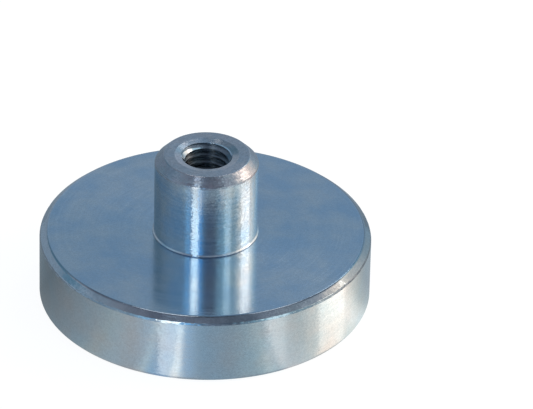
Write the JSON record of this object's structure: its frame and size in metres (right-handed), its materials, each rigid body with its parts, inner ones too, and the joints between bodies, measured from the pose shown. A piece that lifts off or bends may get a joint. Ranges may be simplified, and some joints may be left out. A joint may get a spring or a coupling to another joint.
{
  "type": "pot magnet with threaded bush",
  "caption": "Round flat magnet in a plated steel pot, with a threaded bush standing on its back; it holds on steel and takes a screw.",
  "frame": {"origin": "centre of the holding face, the flat underside of rim and magnet", "axes": "+Z along the thread's axis, from the holding face to the bush's mouth; X and Y are free, because the part is round"},
  "size_m": [0.032, 0.032, 0.0155],
  "materials": {
    "zinc_plated_steel": "turned steel, bright zinc plated and blue passivated",
    "plated_magnet": "sintered rare-earth magnet, ground flat and zinc plated, satin",
    "casting_resin": "cured black epoxy resin, slightly rough"
  },
  "bodies": {
    "root": {"pot": "zinc_plated_steel", "threaded_bush": "zinc_plated_steel", "magnet": "plated_magnet", "adhesive": "casting_resin"}
  },
  "joints": []
}
